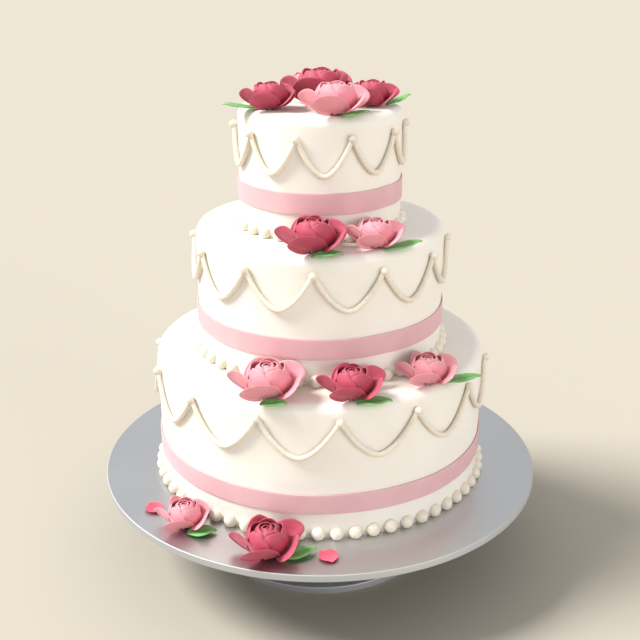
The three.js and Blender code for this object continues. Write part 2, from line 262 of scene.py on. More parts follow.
def thick(face: np.ndarray, thickness: np.ndarray, uv: np.ndarray, tone: float) -> Surface:
    """Gives a grid of points a thickness and closes its rim with a rounded edge.

    The upper face is the grid itself, and the lower face lies its thickness below along the normals,
    which are the cross products of the grid's two finite differences. A ring half-way between them is
    pushed half the thickness outwards, away from the next ring in.

    Args:
        face: (rows, columns, 3) places of the upper face.
        thickness: (rows, columns) thickness.
        uv: (rows * columns, 2) places on the pattern.
        tone: shade of the whole piece.

    Returns:
        The closed surface.
    """
    rows, columns = face.shape[:2]
    normals = unit(np.cross(np.gradient(face, axis=1), np.gradient(face, axis=0)))
    lower = face - normals * thickness[..., None]
    table = np.arange(rows * columns).reshape(rows, columns)
    inner = np.pad(table[1:-1, 1:-1], 1, mode="edge")
    loop, within = (
        np.concatenate([t[0, :-1], t[:-1, -1], t[-1, :0:-1], t[:0:-1, 0]]) for t in (table, inner)
    )
    upper_flat, lower_flat = face.reshape(-1, 3), lower.reshape(-1, 3)
    middle = (upper_flat + lower_flat) / 2
    away = unit(middle[loop] - middle[within])
    edge = middle[loop] + away * (thickness.ravel()[loop] / 2)[:, None]
    count = len(upper_flat)
    belt = np.stack([loop, np.arange(len(loop)) + 2 * count, loop + count])
    belt = np.concatenate([belt, belt[:, :1]], 1)
    triangles = np.concatenate([quilted(table), quilted(table + count)[:, ::-1], quilted(belt)[:, ::-1]])
    points = np.concatenate([upper_flat, lower_flat, edge])
    made = Surface(points, triangles, np.concatenate([uv, uv, uv[loop]]), np.full(len(points), tone))
    return made.outward()


# Colours and nodes

def linear(colour: str) -> tuple[float, float, float, float]:
    """Turns an sRGB hex colour such as "#fbf4e6" into linear red, green, blue and alpha."""
    parts = [int(colour[k : k + 2], 16) / 255 for k in (1, 3, 5)]
    red, green, blue = (c / 12.92 if c <= 0.04045 else ((c + 0.055) / 1.055) ** 2.4 for c in parts)
    return red, green, blue, 1.0


def per_mm(size: float) -> float:
    """Returns the texture scale at which one period of a pattern is size millimetres long."""
    return 1 / (size * METRES)


def add_node(
    tree: bpy.types.NodeTree, kind: str, sockets: dict | tuple = (), out: int | str = 0, **settings: object
) -> bpy.types.NodeSocket | None:
    """Adds a shader node with its settings, values and links.

    Args:
        tree: the node tree.
        kind: Blender's name for the kind of node, without its leading "ShaderNode".
        sockets: the inputs, in their order, or by name or number. Each is a number, a vector, an sRGB hex
            colour or the output that feeds it.
        out: the output to return.
        settings: properties of the node.

    Returns:
        That output, or None for a node without outputs.
    """
    node = tree.nodes.new("ShaderNode" + kind)
    for name, value in settings.items():
        setattr(node, name, value)
    for name, value in sockets.items() if isinstance(sockets, dict) else enumerate(sockets):
        if isinstance(value, bpy.types.NodeSocket):
            tree.links.new(value, node.inputs[name])
        else:
            node.inputs[name].default_value = linear(value) if isinstance(value, str) else value
    return node.outputs[out] if len(node.outputs) else None


Adder = Callable[..., bpy.types.NodeSocket]


# Finishes

@dataclass(frozen=True)
class Coating:
    """What a piece is made of. Each kind works out the sockets of one principled shader."""

    name: str

    def sockets(self, add: Adder) -> dict[str, object]:
        """Returns the shader's values and links, from nodes that add puts into the material."""
        raise NotImplementedError

    def material(self) -> bpy.types.Material:
        """Builds the material at the first call.

        Returns:
            The material, the same one at each call.
        """
        known = bpy.data.materials.get(self.name)
        if known:
            return known
        material = bpy.data.materials.new(self.name)
        material.use_nodes = True
        material.node_tree.nodes.clear()
        add = partial(add_node, material.node_tree)
        add("OutputMaterial", {"Surface": add("BsdfPrincipled", self.sockets(add))})
        return material


@dataclass(frozen=True)
class SugarPaste(Coating):
    """Rolled sugar paste: rolled out, laid over and smoothed by hand with a flat polisher.

    The eye gets a warm white with a faint satin sheen, light that soaks a little way in, wide shallow
    hollows left by the hand, with a slightly darker colour painted into them as shade, and a fine sugar
    grain.
    """

    colour: str
    # painted shade: the darker colour laid into the hollows of the bump
    hollow_colour: str
    roughness: tuple[float, float] = (0.46, 0.6)
    soak: float = 0.18
    hollow: float = 38.0
    grain: float = 1.1  # sugar crystals are 0.1 mm; drawn coarser so that they show

    def sockets(self, add: Adder) -> dict[str, object]:
        """Works out the shader's sockets.

        Args:
            add: adds a node to the material.

        Returns:
            The sockets' values and links, with patterns on Object coordinates.
        """
        place = add("TexCoord", out="Object")
        hollows = add("TexNoise", {"Vector": place, "Scale": per_mm(self.hollow), "Detail": 2.0})
        grain = add("TexNoise", {"Vector": place, "Scale": per_mm(self.grain), "Detail": 4.0})
        raised = add("MapRange", (hollows, 0.35, 0.65, 0, 1))
        wide = add("Bump", {"Height": hollows, "Strength": 0.35, "Distance": 1.2 * METRES})
        fine = {"Height": grain, "Strength": 0.25, "Distance": 0.12 * METRES, "Normal": wide}
        # the hollows of the bump get the painted shade, the raised parts the paste's own colour
        colours = {0: raised, 6: self.hollow_colour, 7: self.colour}
        return {
            "Base Color": add("Mix", colours, 2, data_type="RGBA"),
            "Roughness": add("MapRange", (grain, 0.35, 0.65, *self.roughness)),
            "IOR": 1.45,
            "Subsurface Weight": self.soak,
            "Subsurface Radius": (1.0, 0.75, 0.5),
            "Subsurface Scale": 3.0 * METRES,
            "Normal": add("Bump", fine),
        }


@dataclass(frozen=True)
class RoyalIcing(Coating):
    """Royal icing: egg white and icing sugar, piped from a round tube and dried hard.

    The eye gets a dense ivory with a soft eggshell gloss, and faint ridges left by the tube, with a darker
    ivory painted into the pits between them as shade.
    """

    colour: str
    # painted shade: the darker ivory laid into the pits of the bump
    pit_colour: str
    ridge: float = 2.2

    def sockets(self, add: Adder) -> dict[str, object]:
        """Works out the shader's sockets.

        Args:
            add: adds a node to the material.

        Returns:
            The sockets' values and links, with patterns on Object coordinates.
        """
        place = add("TexCoord", out="Object")
        ridges = add("TexNoise", {"Vector": place, "Scale": per_mm(self.ridge), "Detail": 3.0})
        raised = add("MapRange", (ridges, 0.3, 0.6, 0, 1))
        return {
            # the pits of the bump get the painted shade, the ridges the icing's own colour
            "Base Color": add("Mix", {0: raised, 6: self.pit_colour, 7: self.colour}, 2, data_type="RGBA"),
            "Roughness": 0.42,
            "IOR": 1.48,
            "Subsurface Weight": 0.15,
            "Subsurface Radius": (1.0, 0.8, 0.5),
            "Subsurface Scale": 1.5 * METRES,
            "Normal": add("Bump", {"Height": ridges, "Strength": 0.35, "Distance": 0.35 * METRES}),
        }


@dataclass(frozen=True)
class FlowerPaste(Coating):
    """Flower paste: gum paste rolled thin, cut, thinned at the rim with a ball tool and dusted with colour.

    The eye gets a powdery petal that is deepest towards its foot and palest at its rim, with fine veins
    that run from foot to rim, and a thin rim that lets some light through.
    """

    foot_colour: str
    colour: str
    rim_colour: str
    vein_count: float = 26.0
    dust: float = 7.0

    def sockets(self, add: Adder) -> dict[str, object]:
        """Works out the shader's sockets.

        Args:
            add: adds a node to the material.

        Returns:
            The sockets' values and links, with veins and shade on the petals' own uv and tone.
        """
        pattern = add("UVMap", uv_map="UVMap")
        along = add("SeparateXYZ", (pattern,), "Y")
        stretched = add("VectorMath", (pattern, (self.vein_count, 1.6, 1.0)), operation="MULTIPLY")
        veins = add("TexNoise", {"Vector": stretched, "Scale": 1.0, "Detail": 3.0})
        place = add("TexCoord", out="Object")
        dust = add("TexNoise", {"Vector": place, "Scale": per_mm(self.dust), "Detail": 4.0})
        risen = add("MapRange", (along, 0.05, 0.6, 0, 1))
        body = add("Mix", {0: risen, 6: self.foot_colour, 7: self.colour}, 2, data_type="RGBA")
        rim = add("Math", (add("MapRange", (along, 0.72, 1.0, 0, 0.75)), dust), operation="MULTIPLY")
        edged = add("Mix", {0: rim, 6: body, 7: self.rim_colour}, 2, data_type="RGBA")
        deep = add("MapRange", (veins, 0.45, 0.75, 0, 0.22))
        veined = add("Mix", {0: deep, 6: edged, 7: self.foot_colour}, 2, data_type="RGBA")
        shade = add("MapRange", (add("Attribute", out="Fac", attribute_name="tone"), 0, 1, 0.9, 1.08))
        return {
            "Base Color": add("HueSaturation", {"Value": shade, "Color": veined}),
            "Roughness": 0.58,
            "IOR": 1.42,
            "Subsurface Weight": 0.12,
            "Subsurface Radius": (1.0, 0.35, 0.35),
            "Subsurface Scale": 1.2 * METRES,
            "Sheen Weight": 0.12,
            "Sheen Roughness": 0.5,
            "Normal": add("Bump", {"Height": veins, "Strength": 0.4, "Distance": 0.3 * METRES}),
        }


@dataclass(frozen=True)
class LeafPaste(Coating):
    """Green flower paste pressed in a leaf veiner, dusted darker along the middle and steamed.

    The eye gets a slight gloss from the steam, a darker middle and paler side veins.
    """

    colour: str
    middle_colour: str
    vein_colour: str
    mottle: float = 5.0

    def sockets(self, add: Adder) -> dict[str, object]:
        """Works out the shader's sockets.

        Args:
            add: adds a node to the material.

        Returns:
            The sockets' values and links, with veins on the leaf's own uv.
        """
        pattern = add("UVMap", uv_map="UVMap")
        across = add("Math", (add("SeparateXYZ", (pattern,), "X"), 0.5), operation="SUBTRACT")
        side = add("Math", (across,), operation="ABSOLUTE")
        along = add("SeparateXYZ", (pattern,), "Y")
        swept = add("Math", (side, -2 * VEIN_SWEEP, along), operation="MULTIPLY_ADD")
        phase = add("Math", (swept, 2 * math.pi * SIDE_VEINS), operation="MULTIPLY")
        wave = add("Math", (phase,), operation="COSINE")
        place = add("TexCoord", out="Object")
        mottle = add("TexNoise", {"Vector": place, "Scale": per_mm(self.mottle), "Detail": 4.0})
        colour = self.middle_colour
        for share, above in (
            (add("MapRange", (side, 0.0, 0.28, 0, 1)), self.colour),
            (add("MapRange", (mottle, 0.3, 0.7, 0.35, 0)), self.middle_colour),
            (add("MapRange", (wave, 0.82, 1.0, 0, 0.4)), self.vein_colour),
            (add("MapRange", (side, 0.0, 0.025, 0.5, 0)), self.vein_colour),
        ):
            colour = add("Mix", {0: share, 6: colour, 7: above}, 2, data_type="RGBA")
        return {
            "Base Color": colour,
            "Roughness": 0.42,
            "IOR": 1.45,
            "Subsurface Weight": 0.08,
            "Subsurface Radius": (0.4, 1.0, 0.3),
            "Subsurface Scale": 0.8 * METRES,
            "Normal": add("Bump", {"Height": mottle, "Strength": 0.3, "Distance": 0.15 * METRES}),
        }


@dataclass(frozen=True)
class SpunMetal(Coating):
    """Spun aluminium, brushed while it turned. A plate's lower face, inside its rim, gets a dark grey that
    is painted shade, so that it gives little light back to the floor beneath.

    The eye gets a cool grey that blurs what it mirrors, with faint rings about its middle and a duller rim.
    """

    colour: str
    # painted shade: the dark grey of a plate's lower face, inside its rim
    under_colour: str = "#5b5d5f"
    # height below which that painted shade goes, inside the rim
    polished_from: float = 83.6
    blurred: tuple[float, float] = (0.31, 0.38)
    rim_from: float = 203.2
    rim_blur: float = 0.28
    rim_blend: float = 0.3
    top_blend: float = 0.5
    smear: float = 60.0
    groove: float = 0.7  # real grooves are under 0.1 mm apart; drawn coarser so that they show

    def sockets(self, add: Adder) -> dict[str, object]:
        """Works out the shader's sockets.

        Args:
            add: adds a node to the material.

        Returns:
            The sockets' values and links, with patterns on Object coordinates.
        """
        place = add("TexCoord", out="Object")
        flat = add("VectorMath", (place, (1.0, 1.0, 0.0)), operation="MULTIPLY")
        radius = add("VectorMath", (flat,), "Value", operation="LENGTH")
        groove = {"W": radius, "Scale": per_mm(self.groove), "Detail": 2.0}
        rings = add("TexNoise", groove, noise_dimensions="1D")
        smears = add("TexNoise", {"Vector": place, "Scale": per_mm(self.smear), "Detail": 3.0})
        ringed = add("MapRange", (rings, 0.3, 0.7, 0.0, 0.05))
        blur = add("Math", (ringed, add("MapRange", (smears, 0.3, 0.7, *self.blurred))), operation="ADD")
        rim_edge, top_edge = self.rim_from * METRES, self.polished_from * METRES
        rim_blend, top_blend = self.rim_blend * METRES, self.top_blend * METRES
        rim = add("MapRange", (radius, rim_edge - rim_blend, rim_edge + rim_blend, 0, 1))
        height = add("SeparateXYZ", (place,), "Z")
        top = add("MapRange", (height, top_edge - top_blend, top_edge + top_blend, 0, 1))
        # the plain metal colour above that height and on the rim, the painted shade below it
        polish = add("Math", (top, rim), operation="MAXIMUM")
        colours = {0: polish, 6: self.under_colour, 7: self.colour}
        return {
            "Base Color": add("Mix", colours, 2, data_type="RGBA"),
            "Roughness": add("Math", (rim, self.rim_blur, blur), operation="MULTIPLY_ADD"),
            "Metallic": 1.0,
            "Normal": add("Bump", {"Height": rings, "Strength": 0.12, "Distance": 0.05 * METRES}),
        }


@dataclass(frozen=True)
class MattPaint(Coating):
    """Matt emulsion, rolled on: even, with no pattern that the eye can follow."""

    colour: str

    def sockets(self, add: Adder) -> dict[str, object]:
        """Returns the shader's values, which are the same all over."""
        return {"Base Color": self.colour, "Roughness": 0.9, "Specular IOR Level": 0.1}


class Finish(Enum):
    """The finishes, each with the record's slot that it belongs to and what it is."""

    # METAL: the plate, with painted shade on its lower face
    METAL = ("metal", SpunMetal("spun_aluminium", "#c6c7c8"))
    # the foot: the plate's metal, rougher, in a darker grey that is painted shade for its place under the
    # plate
    FOOT = ("metal", SpunMetal("brushed_aluminium", "#bcbdbe", polished_from=-2.0, blurred=(0.62, 0.68)))
    # FONDANT and BAND: the second colour is painted shade for the hollows
    FONDANT = ("fondant", SugarPaste("rolled_sugar_paste", "#eae5db", "#e8e2d7"))
    BAND = ("band", SugarPaste("pink_sugar_paste", "#d9aeb0", "#d5a8ac", (0.5, 0.62), 0.1, 22.0, 0.9))
    # ICING: the second colour is painted shade for the pits
    ICING = ("icing", RoyalIcing("piped_royal_icing", "#e3daca", "#dacfba"))
    DEEP = ("petal_deep", FlowerPaste("deep_flower_paste", "#8e263a", "#ac3d53", "#c15e6e"))
    PALE = ("petal_pale", FlowerPaste("pale_flower_paste", "#cd727e", "#da8d96", "#e3a7ac"))
    LOOSE = ("petal_loose", FlowerPaste("rose_flower_paste", "#c9425b", "#d65369", "#e27385"))
    LEAF = ("leaf", LeafPaste("green_leaf_paste", "#79b268", "#629f57", "#8dbd7c"))

    def __init__(self, slot: str, coating: Coating) -> None:
        """Keeps the record's material slot and what the piece is made of."""
        self.slot = slot
        self.coating = coating


def add_piece(name: str, surface: Surface, finish: Finish, node: str) -> None:
    """Puts a surface into the scene as a piece of the object, with its place in its mesh.

    Args:
        name: the piece's name.
        surface: its mesh, in millimetres.
        finish: what it is made of.
        node: the solid that it stands for.
    """
    mesh = bpy.data.meshes.new(name)
    count = len(surface.triangles)
    corners = surface.triangles.astype(np.int32).ravel()
    uv, tone = surface.uv[corners].astype(np.float32), surface.tone.astype(np.float32)
    mesh.vertices.add(len(surface.points))
    mesh.vertices.foreach_set("co", (surface.points * METRES).astype(np.float32).ravel())
    mesh.loops.add(3 * count)
    mesh.loops.foreach_set("vertex_index", corners)
    mesh.polygons.add(count)
    mesh.polygons.foreach_set("loop_start", np.arange(0, 3 * count, 3, dtype=np.int32))
    mesh.update(calc_edges=True)
    mesh.uv_layers.new(name="UVMap").data.foreach_set("uv", uv.ravel())
    mesh.attributes.new("tone", "FLOAT", "POINT").data.foreach_set("value", tone)
    mesh.validate()
    mesh.shade_smooth()
    mesh.materials.append(finish.coating.material())
    piece = bpy.data.objects.new(name, mesh)
    bpy.context.scene.collection.objects.link(piece)
    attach(piece, BODY)
    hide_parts(node)
    log.info("%s: %d triangles, stands for %s", name, count, node)


# Stand

@dataclass
class Stand:
    """A round metal plate on a spun foot that flares at its edge."""

    height: float = 88.0
    plate_radius: float = 204.0
    plate_thickness: float = 5.0
    plate_sides: int = 320
    rim_width: float = 4.0
    rim_drop: float = 1.4
    foot_radius: float = 107.0
    foot_edge: float = 7.5
    foot_lip: float = 4.0
    stem_radius: float = 38.0
    stem_from: float = 47.5
    collar_radius: float = 62.0
    foot_sides: int = 256
    gap: float = 0.3

    @property
    def under(self) -> float:
        """Height of the plate's lower face."""
        return self.height - self.plate_thickness

    def plate(self) -> Surface:
        """Turns the plate: flat faces and a rim that is a little thicker, with rounded edges.

        Returns:
            The plate's surface.
        """
        profile = rounded([
            (0, self.under, 0),
            (self.plate_radius - self.rim_width - 3, self.under, 1.5),
            (self.plate_radius - self.rim_width, self.under - self.rim_drop, 1.0),
            (self.plate_radius, self.under - self.rim_drop, 0.7),
            (self.plate_radius, self.height, 0.7),
            (0, self.height, 0),
        ])
        return sheet_of(turned(profile, self.plate_sides))

    def foot(self) -> Surface:
        """Turns the foot: an upright edge, a hollow flare up to the stem and a collar under the plate.

        The flare and the collar are cubic curves from one rounded edge to the next.

        Returns:
            The foot's surface.
        """
        share = np.linspace(0, 1, 30)
        lip = (self.foot_radius - self.foot_lip, self.foot_edge + 1.2)
        stem = (self.stem_radius, self.stem_from)
        collar_edge = (self.collar_radius, self.under - self.gap)
        edge = rounded([
            (0, 0, 0),
            (self.foot_radius, 0, 1.2),
            (self.foot_radius, self.foot_edge, 1.0),
            (*lip, 0),
        ])
        flare, _ = bezier([
            lip,
            (self.foot_radius - 40, self.foot_edge + 11),
            (self.stem_radius + 3, self.foot_edge + 17),
            stem,
        ], share)
        collar, _ = bezier([
            stem,
            (self.stem_radius, self.under - 16),
            (self.stem_radius + 4, self.under - 7),
            collar_edge,
        ], share)
        closed = np.concatenate([edge, flare[1:], collar[1:], [[0.0, collar_edge[1]]]])
        return sheet_of(turned(closed, self.foot_sides))

    def build(self) -> None:
        """Adds the plate and the foot."""
        add_piece("plate", self.plate(), Finish.METAL, "stand_plate")
        add_piece("foot", self.foot(), Finish.FOOT, "stand_foot")


# Tiers

def drop_profile(radius: float, height: float, sunk: float, steps: int) -> np.ndarray:
    """Draws the profile of a piped bead.

    The radius follows a half circle from foot to top. The lowest share of the circle is cut off, so that
    the bead stands on a flat foot, and the rest is stretched to its height.

    Args:
        radius: half the bead's width.
        height: the bead's height as a share of its width.
        sunk: share of the circle's height that is cut off.
        steps: number of steps from foot to top.

    Returns:
        (steps + 2, 2) radii and heights, from the middle of the foot to the top.
    """
    turn = np.linspace(math.acos(1 - 2 * sunk), math.pi, steps + 1)
    level = (1 - np.cos(turn)) / 2
    tall = (level - sunk) / (1 - sunk) * 2 * radius * height
    line = np.stack([radius * np.sin(turn), tall], 1)
    line[-1, 0] = 0
    return np.concatenate([[[0, 0]], line])


@dataclass
class Pearls:
    """A border of piped beads: how many, the azimuth of the first, and their diameter.

    offset is how far outside the wall their middles stand, height is a share of the diameter, sunk is the
    share of a ball that is flat against the ledge, and room is what they leave round the bud of a rose.
    """

    count: int
    azimuth: float
    diameter: float
    offset: float = 0.8
    height: float = 0.93
    sunk: float = 0.12
    room: float = 0.6
    steps: int = 12
    sides: int = 22


@dataclass
class Swags:
    """Piped loops: how many, the azimuth of the first join, the joins' depth below the top, and the sag."""

    count: int
    azimuth: float
    depth: float
    sag: float
    rope_radius: float = 2.3
    rope_steps: int = 45
    rope_sides: int = 16
    dot_radius: float = 3.5
    dot_steps: int = 14
    dot_sides: int = 20


@dataclass
class Tier:
    """One tier of cake under sugar paste, with its band, swags and border of pearls."""

    name: str
    radius: float
    base: float
    height: float
    band: float
    swags: Swags
    pearls: Pearls
    shoulder: float = 8.0
    paste_step: float = 7.0
    hollow: float = 0.3
    hollow_from: float = 12.0
    gap: float = 0.3
    band_width: float = 18.0
    band_thickness: float = 1.0
    band_edge: float = 0.45
    band_step: float = 3.0
    sides: int = 288

    @property
    def top(self) -> float:
        """Height of the ledge on top of the tier."""
        return self.base + self.height

    def unevenness(self, points: np.ndarray) -> np.ndarray:
        """Works out how far hand-smoothed paste lies below its true form.

        It is the hollow's depth times the mean of three sine waves of the azimuth and the height, brought
        between 0 and 1.

        Args:
            points: (..., 3) places.

        Returns:
            A depth for each place, never below 0.
        """
        turn = np.arctan2(points[..., 0], -points[..., 1])
        z = points[..., 2]
        phase = self.radius / 17
        waves = (
            np.sin(5 * turn + z / 19 + phase)
            + np.sin(11 * turn - z / 13 + 2 * phase)
            + np.sin(17 * turn + z / 9 + 3 * phase)
        )
        return self.hollow * (0.5 + waves / 6)

    def paste(self) -> Surface:
        """Turns the covered cake: an upright wall, a quarter-round shoulder and a flat top.

        The wall and the shoulder lie in a little where the paste is uneven.

        Returns:
            The covered cake's surface.
        """
        arc = np.radians(np.linspace(0, 90, 13))[:, None]
        centre = np.array([self.radius - self.shoulder, self.top - self.shoulder])
        corner = centre + self.shoulder * np.concatenate([np.cos(arc), np.sin(arc)], 1)
        ends = [[0.0, self.base], [self.radius, self.base]]
        profile = divided(np.concatenate([ends, corner, [[0.0, self.top]]]), self.paste_step)
        points = turned(profile, self.sides)
        reach = np.linalg.norm(points[..., :2], axis=2)
        on_wall = ramp(reach, self.radius - self.hollow_from, self.radius)
        above_base = points[..., 2] > self.base + 0.5
        inward = 1 - self.unevenness(points) * on_wall * above_base / np.maximum(reach, 1)
        points[..., :2] *= inward[..., None]
        return sheet_of(points)

    def band_strip(self) -> Surface:
        """Turns the band: a flat strip with cut edges that the knife has rounded slightly.

        Its height wavers round the tier by two sine waves, of 7 and 16 periods.

        Returns:
            The band's surface.
        """
        inner = self.radius + self.gap
        outer = inner + self.band_thickness
        low = self.base + self.band
        high = low + self.band_width
        profile = rounded([
            (inner, (low + high) / 2, 0),
            (inner, low, 0),
            (outer, low, self.band_edge),
            (outer, high, self.band_edge),
            (inner, high, 0),
            (inner, (low + high) / 2, 0),
        ], 4)
        points = turned(divided(profile, self.band_step), self.sides)
        turn = around(self.sides)
        points[..., 2] += 0.22 * np.sin(7 * turn + self.radius) + 0.12 * np.sin(16 * turn)
        return sheet_of(points)

    def swag_line(self, turns: np.ndarray) -> np.ndarray:
        """Works out the middle line of the ropes.

        Between two joins the line hangs sag * (1 - |2 s - 1|^1.75) below the joins at share s: almost a
        parabola, drawn a little tighter at the bottom by the weight of the icing.

        Args:
            turns: places round the tier, in swags from the first join.

        Returns:
            (n, 3) places.
        """
        drop = self.swags.sag * (1 - np.abs(2 * (turns % 1) - 1) ** 1.75)
        radius = self.radius + self.gap + self.swags.rope_radius
        azimuth = self.swags.azimuth + 360 * turns / self.swags.count
        return polar(azimuth, radius, self.top - self.swags.depth - drop)

    def rope(self, number: int) -> Surface:
        """Pipes one loop between two joins.

        A circle is carried along the swag's line, square to it. It is widest at the middle of the loop,
        where the tube moved slowest, and narrows towards both joins, where it ends in the dots.

        Args:
            number: which loop, from the first join.

        Returns:
            The loop's closed surface.
        """
        share = np.linspace(0.0, 0.99999, self.swags.rope_steps)
        line = self.swag_line(number + share)
        along = unit(np.gradient(line, axis=0))
        up = np.cross(unit(line * (1, 1, 0)), along)
        out = np.cross(along, up)
        radius = self.swags.rope_radius * (0.86 + 0.14 * np.sin(math.pi * share))
        ripple = 1 + 0.025 * np.sin(share * 61 + number) + 0.02 * np.sin(share * 97 + 2 * number)
        radius = (radius * np.minimum(ripple, 1.0))[:, None, None]
        turn = around(self.swags.rope_sides)[:, None]
        points = line[:, None] + (out[:, None] * np.cos(turn) + up[:, None] * np.sin(turn)) * radius
        ends = [np.broadcast_to(line[k], (1, *points.shape[1:])) for k in (0, -1)]
        return sheet_of(np.concatenate([ends[0], points, ends[1]]))

    def dot(self, number: int) -> Surface:
        """Pipes the bead over a join: a ball with its inner side against the wall.

        Args:
            number: which join.

        Returns:
            The bead's closed surface.
        """
        radius = self.swags.dot_radius
        ball = turned(drop_profile(radius, 1.0, 0.0, self.swags.dot_steps), self.swags.dot_sides)
        azimuth = self.swags.azimuth + 360 * number / self.swags.count
        place = polar(azimuth, self.radius + self.gap + radius, self.top - self.swags.depth)
        return sheet_of(ball - (0, 0, radius) + place)

    def piping(self) -> Surface:
        """Returns all loops and dots of the tier, in one surface."""
        numbers = range(self.swags.count)
        return joined([self.rope(k) for k in numbers] + [self.dot(k) for k in numbers])

    def pearl_places(self, roses: list["Rose"]) -> np.ndarray:
        """Finds where the pearls stand, but for those where a rose's bud stands.

        Args:
            roses: all roses.

        Returns:
            (n, 3) places on the ledge.
        """
        pearls = self.pearls
        azimuth = pearls.azimuth + 360 / pearls.count * np.arange(pearls.count)
        places = polar(azimuth, self.radius + pearls.offset, self.base)
        for rose in roses:
            if rose.ledge == self.base:
                away = np.linalg.norm(places[:, :2] - (rose.x, rose.y), axis=1)
                places = places[away > rose.bud_radius * rose.size + pearls.diameter / 2 + pearls.room]
        return places

    def border(self, roses: list["Rose"]) -> Surface:
        """Pipes the border of pearls, each a little different from the next.

        Args:
            roses: all roses.

        Returns:
            The pearls' surfaces in one.
        """
        pearls = self.pearls
        chance = np.random.default_rng(SEED + pearls.count)
        beads = []
        for place in self.pearl_places(roses):
            width, tall, turn, lean = chance.uniform((0.94, 0.93, 0, 0), (1.0, 1.0, 360, 0.05))
            radius = pearls.diameter / 2 * width
            profile = drop_profile(radius, pearls.height * tall, pearls.sunk, pearls.steps)
            points = turned(profile, pearls.sides)
            points[..., :2] += polar(turn, lean, 0)[:2] * points[..., 2:]
            beads.append(sheet_of(points + place))
        return joined(beads)

    def build(self, roses: list["Rose"]) -> None:
        """Adds the covered cake, its pearls, band and swags.

        Args:
            roses: all roses, which keep some pearls away.
        """
        add_piece(f"cake_{self.name}", self.paste(), Finish.FONDANT, f"tier_{self.name}")
        add_piece(f"pearls_{self.name}", self.border(roses), Finish.ICING, f"tier_{self.name}")
        add_piece(f"ribbon_{self.name}", self.band_strip(), Finish.BAND, f"band_{self.name}")
        add_piece(f"piping_{self.name}", self.piping(), Finish.ICING, f"swags_{self.name}")


# Roses

@dataclass
class BudRing:
    """One ring of petals in the bud at size 1.

    count petals start at an azimuth. Each covers a half-span to both sides. scale shrinks the ring's bulge
    towards the axis, lip and height are those of its rim, and dip is how far the rim falls to the sides.
    """

    count: int
    azimuth: float
    half_span: float
    scale: float
    lip: float
    height: float
    dip: float

    def line(self, radius: float) -> list[tuple[float, float]]:
        """Returns the control points of the ring's upright line over a bud of that radius."""
        low, high = self.scale * (radius + 2), self.scale * (radius + 3.8)
        return [(6 * self.scale, 1), (low, 4), (high, 0.8 * self.height), (self.lip, self.height)]


@dataclass
class OpenPetal:
    """How an open petal stands at size 1.

    Its middle is a distance out and a height up, and its upper half leans outwards. twist is how far it
    faces past the direction in which it stands.
    """

    azimuth: float
    distance: float
    height: float
    lean: float
    twist: float
    width: float = 29.0

    def eased(self, openness: float) -> "OpenPetal":
        """Closes the petal towards the bud.

        Args:
            openness: 0 for a petal that hugs the bud, 1 for one as open as this one.

        Returns:
            The new petal.
        """
        hugging = OpenPetal(self.azimuth, 15.5, 11.2, 5.0, 8.0, self.width)
        return OpenPetal(*(a + (b - a) * openness for a, b in zip(astuple(hugging), astuple(self))))


